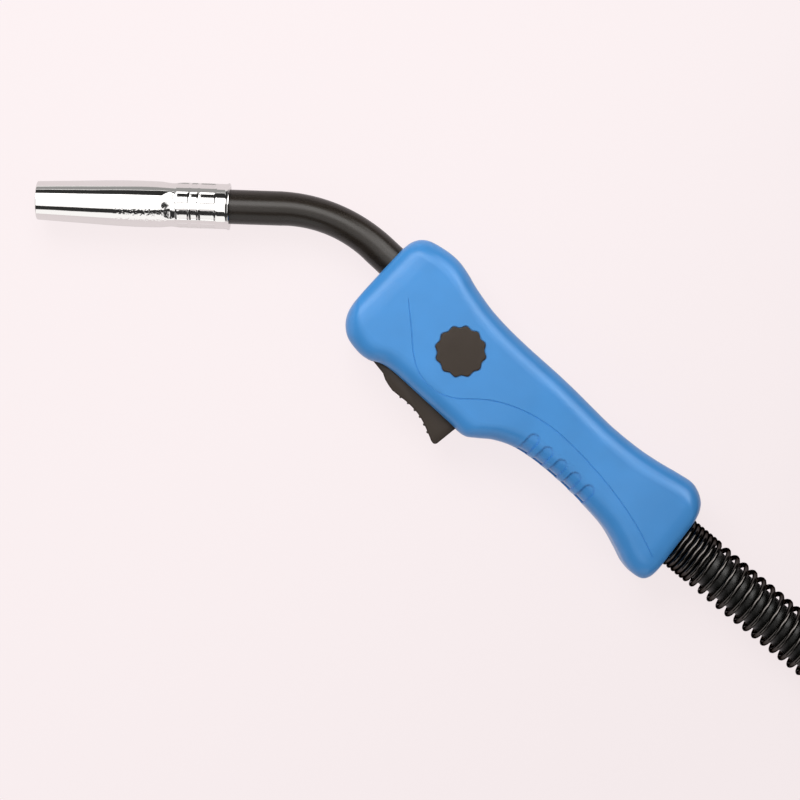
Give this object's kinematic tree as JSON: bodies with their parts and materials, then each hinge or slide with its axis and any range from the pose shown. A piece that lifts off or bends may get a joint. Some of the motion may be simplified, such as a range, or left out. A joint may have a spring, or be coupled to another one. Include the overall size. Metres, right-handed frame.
{
  "type": "mig welding torch",
  "caption": "Hand-held wire-feed welding torch: gas nozzle on a bent neck, moulded handle with a trigger, sprung cable coiled for storage, and a machine plug with a locking nut.",
  "frame": {"origin": "on the handle's flat rest side, under the centre of the badge", "axes": "+X from the nozzle's mouth back along the nozzle's axis, +Z out of the side that carries the badge, away from the rest side"},
  "size_m": [0.55, 0.2948, 0.0482],
  "materials": {
    "handle_blue": "moulded, fine matt grain",
    "black_plastic": "moulded, satin",
    "chrome": "polished plating over copper",
    "copper": "drawn copper alloy",
    "brass": "turned brass",
    "steel": "zinc plated",
    "neck_black": "satin black insulating sleeve",
    "phenolic": "brown moulded insulator",
    "spring_black": "gloss black coated wire",
    "cable_rubber": "black extruded rubber",
    "switch_black": "moulded, plain",
    "plunger_red": "moulded, plain",
    "wire_red": "insulated wire"
  },
  "bodies": {
    "torch": {"contact_tip": "copper", "tip_holder": "brass", "nozzle_insulator": "phenolic", "neck_sleeve": "neck_black", "neck_tube": "copper", "wire_liner": "steel", "neck_nut": "brass", "cable_fitting": "brass", "crimp_ferrule": "copper", "handle_shell_upper": "handle_blue", "handle_shell_lower": "handle_blue", "handle_screws": "steel", "badge": "black_plastic", "trigger_pin": "steel", "trigger_spring": "steel", "switch_body": "switch_black", "switch_terminals": "brass", "switch_wires": "wire_red", "cable_grommet": "cable_rubber", "cable_in_handle": "cable_rubber", "handle_cable_spring": "spring_black", "cable_lead": "cable_rubber", "cable_coil": "cable_rubber", "cable_tail": "cable_rubber", "plug_cable_spring": "spring_black", "plug_housing_upper": "black_plastic", "plug_housing_lower": "black_plastic", "plug_screws": "steel", "plug_body": "brass", "plug_crimp": "copper", "plug_flange": "black_plastic", "plug_pin": "brass", "pin_ring": "cable_rubber", "liner_nut": "brass"},
    "nozzle": {"gas_nozzle": "chrome"},
    "trigger": {"trigger": "black_plastic"},
    "plunger": {"switch_plunger": "plunger_red"},
    "plug_nut": {"plug_nut": "black_plastic"},
    "signal_pin_upper": {"signal_pin_upper": "brass"},
    "signal_pin_lower": {"signal_pin_lower": "brass"}
  },
  "joints": [
    {"name": "trigger_pivot", "type": "hinge", "parent": "torch", "child": "trigger", "pos_m": [-0.02963, -0.00299, 0.016], "axis": [0, 0, 1], "range_deg": [0, 7], "stiffness_Nm_per_rad": 1, "springref_deg": -3.44, "deforming": ["trigger_spring"]},
    {"name": "switch_plunger", "type": "slide", "parent": "torch", "child": "plunger", "axis": [0.6561, 0.7547, 0], "range_m": [0, 0.00165]},
    {"name": "nozzle_pull", "type": "slide", "parent": "torch", "child": "nozzle", "axis": [-1, 0, 0], "range_m": [0, 0.078]},
    {"name": "plug_nut_spin", "type": "hinge", "parent": "torch", "child": "plug_nut", "pos_m": [0.18377, 0.09, 0.02403], "axis": [-0.9936, 0, 0.1132], "continuous": true},
    {"name": "signal_pin_upper_push", "type": "slide", "parent": "torch", "child": "signal_pin_upper", "axis": [0.9936, 0, -0.1132], "range_m": [0, 0.003], "stiffness_N_per_m": 400, "springref_m": -0.001},
    {"name": "signal_pin_lower_push", "type": "slide", "parent": "torch", "child": "signal_pin_lower", "axis": [0.9936, 0, -0.1132], "range_m": [0, 0.003], "stiffness_N_per_m": 400, "springref_m": -0.001}
  ],
  "couplings": [
    {"joint": "switch_plunger", "follows": "trigger_pivot", "m_per_rad": 0.0134}
  ]
}
